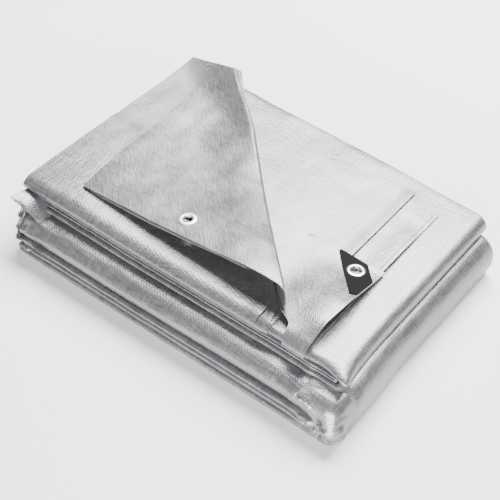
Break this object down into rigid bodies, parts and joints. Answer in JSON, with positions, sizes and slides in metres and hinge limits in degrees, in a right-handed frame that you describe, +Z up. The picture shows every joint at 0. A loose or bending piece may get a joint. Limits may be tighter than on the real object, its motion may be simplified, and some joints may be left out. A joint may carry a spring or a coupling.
{
  "type": "folded tarp",
  "caption": "Grey coated woven tarpaulin folded back and forth into a flat rectangular bundle, hemmed end and one corner turned back on top, with eyelets and a black corner patch",
  "frame": {"origin": "middle of the foot of the bundle, on the ground", "axes": "+X along the bundle's length towards the hemmed end, +Y across its width away from the open front folds, +Z up"},
  "size_m": [0.4968, 0.351, 0.1249],
  "materials": {
    "coated_cloth": "woven polyethylene tape cloth with a thin smooth coating, satin, with fold creases",
    "corner_plastic": "moulded polypropylene, matte",
    "eyelet_metal": "nickel-plated pressed steel, polished"
  },
  "bodies": {
    "root": {"folded_cloth": "coated_cloth", "end_hem": "coated_cloth", "corner_hem": "coated_cloth", "turned_corner": "coated_cloth", "corner_patch": "corner_plastic", "eyelet_corner": "eyelet_metal", "eyelet_turned": "eyelet_metal"}
  },
  "joints": []
}
